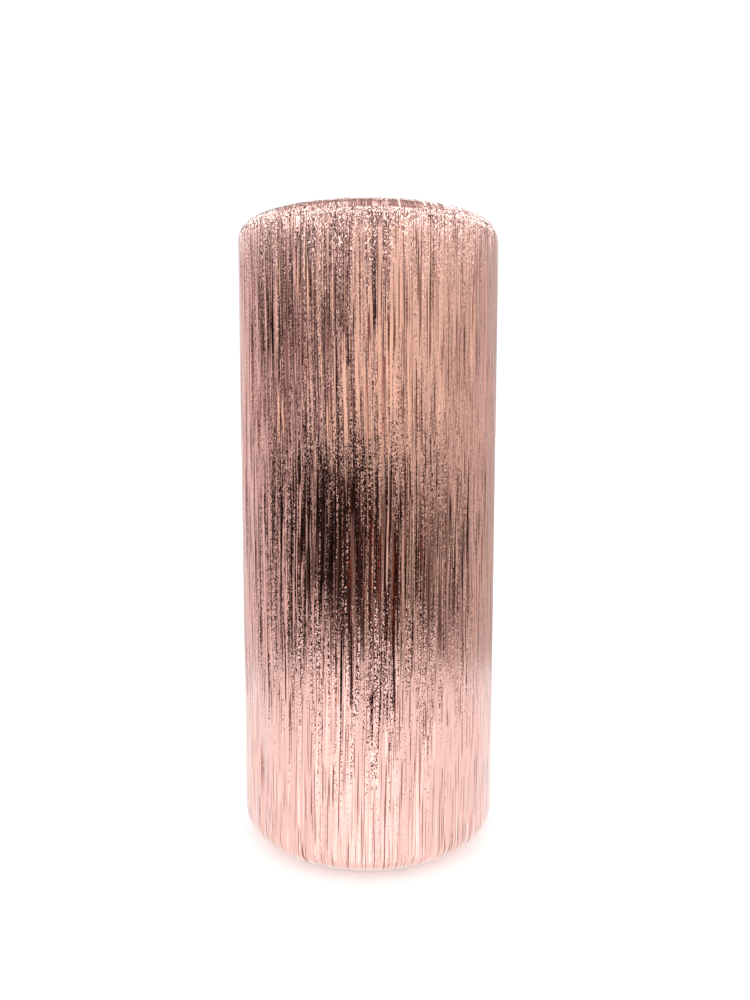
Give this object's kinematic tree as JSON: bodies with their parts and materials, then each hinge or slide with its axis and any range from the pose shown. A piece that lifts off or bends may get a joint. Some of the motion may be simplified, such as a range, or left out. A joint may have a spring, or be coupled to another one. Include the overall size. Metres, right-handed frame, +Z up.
{
  "type": "lipstick case",
  "caption": "Push-to-open twist-up lipstick case: a brushed rose-gold full-length sleeve over an inner unit that stands on its own foot.",
  "frame": {"origin": "centre of the foot, on the surface that the case stands on", "axes": "+Z up along the case's axis, front towards -Y, +X to the right seen from the front"},
  "size_m": [0.032, 0.032, 0.076],
  "materials": {
    "brushed_rose_gold": "bright rose-gold metal with dense broken streaks along the axis",
    "polished_rose_gold": "polished rose-gold metal",
    "foot_metal": "turned rose-gold metal, satin",
    "barrel_gold": "polished champagne-gold metal",
    "bare_steel": "plain steel",
    "black_plastic": "moulded, fine satin",
    "white_plastic": "moulded, satin",
    "soft_rubber": "matt",
    "label_paper": "blank coated paper",
    "lip_wax": "smooth wax with a soft sheen"
  },
  "bodies": {
    "base": {"foot_plate": "foot_metal", "shade_label": "label_paper", "base_weight": "bare_steel", "base_shell": "polished_rose_gold", "base_core": "black_plastic", "guide_fork": "white_plastic", "friction_ring": "soft_rubber"},
    "swivel": {"spiral_sleeve": "white_plastic", "barrel": "barrel_gold"},
    "elevator": {"bullet_cup": "white_plastic", "lipstick_bullet": "lip_wax"},
    "sleeve": {"sleeve_shell": "brushed_rose_gold", "sleeve_liner": "black_plastic", "mouth_bush": "white_plastic", "spring_spider": "bare_steel", "rattle_ring": "soft_rubber", "button_spring": "bare_steel"},
    "button": {"button_cap": "polished_rose_gold", "button_carrier": "black_plastic", "release_tube": "white_plastic"}
  },
  "joints": [
    {"name": "barrel_turn", "type": "hinge", "parent": "base", "child": "swivel", "pos_m": [0, 0, 0.012], "axis": [0, 0, 1], "range_deg": [0, 540]},
    {"name": "stick_lift", "type": "slide", "parent": "base", "child": "elevator", "axis": [0, 0, 1], "range_m": [0, 0.022]},
    {"name": "sleeve_pull", "type": "slide", "parent": "base", "child": "sleeve", "axis": [0, 0, 1], "range_m": [0, 0.07]},
    {"name": "button_press", "type": "slide", "parent": "sleeve", "child": "button", "axis": [0, 0, -1], "range_m": [0, 0.002], "stiffness_N_per_m": 800, "springref_m": -0.001, "deforming": ["button_spring"]}
  ],
  "couplings": [
    {"joint": "stick_lift", "follows": "barrel_turn", "m_per_rad": 0.0023343}
  ]
}
